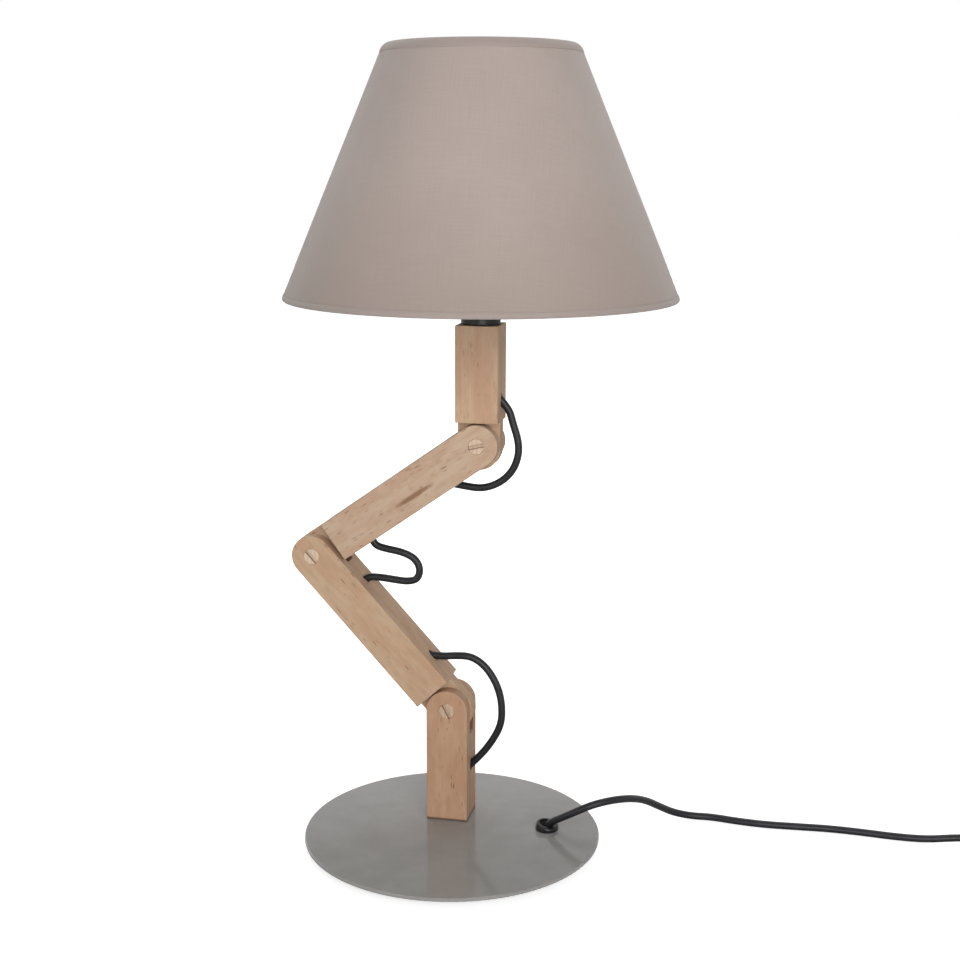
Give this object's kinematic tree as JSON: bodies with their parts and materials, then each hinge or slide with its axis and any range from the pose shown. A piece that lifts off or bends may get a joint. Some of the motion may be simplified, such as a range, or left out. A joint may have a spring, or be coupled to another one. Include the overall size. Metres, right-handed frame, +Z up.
{
  "type": "desk lamp",
  "caption": "Jointed wooden table lamp: round plate foot, folding square-section arms on pegs, lead looped outside each joint, conical fabric shade.",
  "frame": {"origin": "centre of the underside of the foot, on the table", "axes": "+X right, in the plane that the arms fold in, +Y away from the front, +Z up"},
  "size_m": [0.6652, 0.378, 0.613],
  "materials": {
    "plate_lacquer": "semi-gloss warm grey lacquer",
    "pad_foam": "matt black foam",
    "grommet_rubber": "satin black",
    "beech": "satin oiled beech",
    "beech_pin": "satin pale beech",
    "fibre": "matt natural fibre",
    "zinc_steel": "zinc plated",
    "lead_pvc": "satin black",
    "holder_black": "matt black phenolic",
    "insert_white": "matt ivory",
    "contact_brass": "bright",
    "bulb_cap_metal": "bright",
    "bulb_glass": "opal white",
    "carrier_white": "white powder coat",
    "shade_fabric": "matt taupe weave on a stiff backing",
    "switch_black": "satin black",
    "plug_black": "satin black",
    "pin_nickel": "nickel plated",
    "tie_velcro": "woven black"
  },
  "bodies": {
    "base": {"base_plate": "plate_lacquer", "base_pad": "pad_foam", "cable_grommet": "grommet_rubber", "base_post": "beech", "base_post_screws": "zinc_steel", "base_pivot_bolt": "beech_pin", "base_pivot_nut": "beech_pin", "base_pivot_washers": "fibre", "lead_in_base": "lead_pvc", "lead_loop_base": "lead_pvc", "supply_cord": "lead_pvc", "switch_base": "switch_black", "switch_cover": "switch_black", "switch_screws": "zinc_steel", "switch_contacts": "contact_brass", "switch_cord": "lead_pvc", "cord_coil": "lead_pvc", "cord_tie": "tie_velcro", "plug_cord": "lead_pvc", "plug_sleeve": "plug_black", "plug_body": "plug_black", "plug_pins": "pin_nickel"},
    "lower_arm": {"lower_arm": "beech", "elbow_bolt": "beech_pin", "elbow_nut": "beech_pin", "elbow_washers": "fibre", "lead_in_lower_arm": "lead_pvc", "lead_loop_elbow": "lead_pvc"},
    "upper_arm": {"upper_arm": "beech", "neck_bolt": "beech_pin", "neck_nut": "beech_pin", "neck_washers": "fibre", "lead_in_upper_arm": "lead_pvc", "lead_loop_neck": "lead_pvc"},
    "head": {"top_post": "beech", "lead_in_top_post": "lead_pvc", "holder_nipple": "zinc_steel", "holder_cap": "holder_black", "holder_skirt": "holder_black", "holder_insert": "insert_white", "holder_contacts": "contact_brass", "holder_ring_lower": "holder_black", "holder_ring_upper": "holder_black", "bulb_cap": "bulb_cap_metal", "bulb_globe": "bulb_glass", "shade_carrier": "carrier_white", "shade_top_wire": "carrier_white", "shade_bottom_wire": "carrier_white", "shade_shell": "shade_fabric", "shade_bottom_binding": "shade_fabric", "shade_top_binding": "shade_fabric"},
    "rocker": {"switch_rocker": "switch_black"}
  },
  "joints": [
    {"name": "base_pivot", "type": "hinge", "parent": "base", "child": "lower_arm", "pos_m": [-0.008, 0.032, 0.1023], "axis": [0, 1, 0], "range_deg": [-15, 50], "deforming": ["lead_loop_base"]},
    {"name": "elbow", "type": "hinge", "parent": "lower_arm", "child": "upper_arm", "pos_m": [-0.11736, 0.032, 0.22249], "axis": [0, 1, 0], "range_deg": [-97, 6], "deforming": ["lead_loop_elbow"]},
    {"name": "neck", "type": "hinge", "parent": "upper_arm", "child": "head", "pos_m": [0.01526, 0.032, 0.31639], "axis": [0, 1, 0], "range_deg": [-20, 55], "deforming": ["lead_loop_neck"]},
    {"name": "switch_rocker", "type": "hinge", "parent": "base", "child": "rocker", "pos_m": [0.435, 0.0765, 0.0104], "axis": [0, 1, 0], "range_deg": [0, 16]}
  ]
}
